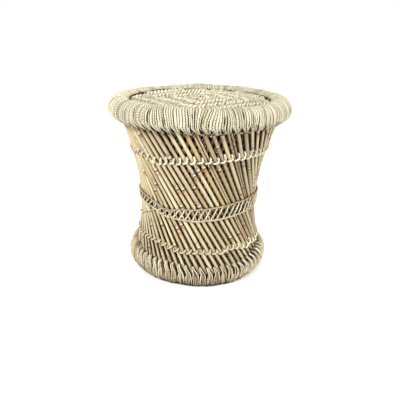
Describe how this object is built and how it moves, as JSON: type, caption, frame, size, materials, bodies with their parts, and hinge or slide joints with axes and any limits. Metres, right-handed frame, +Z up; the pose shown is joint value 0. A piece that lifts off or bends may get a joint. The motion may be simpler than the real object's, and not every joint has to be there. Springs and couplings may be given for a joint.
{
  "type": "mudda stool",
  "caption": "Round waisted stool of crossed reeds between a rope-wound rim and base ring, with rope lashings and a rope-woven seat.",
  "frame": {"origin": "on the floor, at the centre of the base ring", "axes": "+Z up along the stool's axis, -Y towards the viewer of the picture, +X to the viewer's right"},
  "size_m": [0.3994, 0.3996, 0.4],
  "materials": {
    "reed": "dried reed stems, smooth and slightly glossy",
    "grass_bundle": "dry grass stems, matte",
    "winding_rope": "twisted plant-fibre rope wound close, matte",
    "lashing_cord": "twisted plant-fibre cord, matte",
    "seat_rope": "twisted plant-fibre rope laid in nested squares, matte"
  },
  "bodies": {
    "root": {"outer_reed_02": "reed", "outer_reed_03": "reed", "outer_reed_04": "reed", "outer_reed_05": "reed", "outer_reed_06": "reed", "outer_reed_08": "reed", "outer_reed_09": "reed", "outer_reed_10": "reed", "outer_reed_11": "reed", "outer_reed_12": "reed", "outer_reed_14": "reed", "outer_reed_15": "reed", "outer_reed_16": "reed", "outer_reed_17": "reed", "outer_reed_18": "reed", "outer_reed_20": "reed", "outer_reed_21": "reed", "outer_reed_22": "reed", "outer_reed_23": "reed", "outer_reed_24": "reed", "outer_reed_26": "reed", "outer_reed_27": "reed", "outer_reed_28": "reed", "outer_reed_29": "reed", "outer_reed_30": "reed", "outer_reed_32": "reed", "outer_reed_33": "reed", "outer_reed_34": "reed", "outer_reed_35": "reed", "outer_reed_36": "reed", "outer_reed_38": "reed", "outer_reed_39": "reed", "outer_reed_40": "reed", "outer_reed_41": "reed", "outer_reed_42": "reed", "outer_reed_44": "reed", "outer_reed_45": "reed", "outer_reed_46": "reed", "outer_reed_47": "reed", "outer_reed_48": "reed", "outer_reed_50": "reed", "outer_reed_51": "reed", "outer_reed_52": "reed", "outer_reed_53": "reed", "outer_reed_54": "reed", "outer_reed_56": "reed", "outer_reed_57": "reed", "outer_reed_58": "reed", "outer_reed_59": "reed", "outer_reed_60": "reed", "outer_reed_62": "reed", "outer_reed_63": "reed", "base_bundle": "grass_bundle", "base_winding": "winding_rope", "rim_bundle": "grass_bundle", "rim_winding": "winding_rope", "upper_lashing": "lashing_cord", "lower_lashing": "lashing_cord", "waist_band": "lashing_cord", "seat_weave": "seat_rope"}
  },
  "joints": []
}
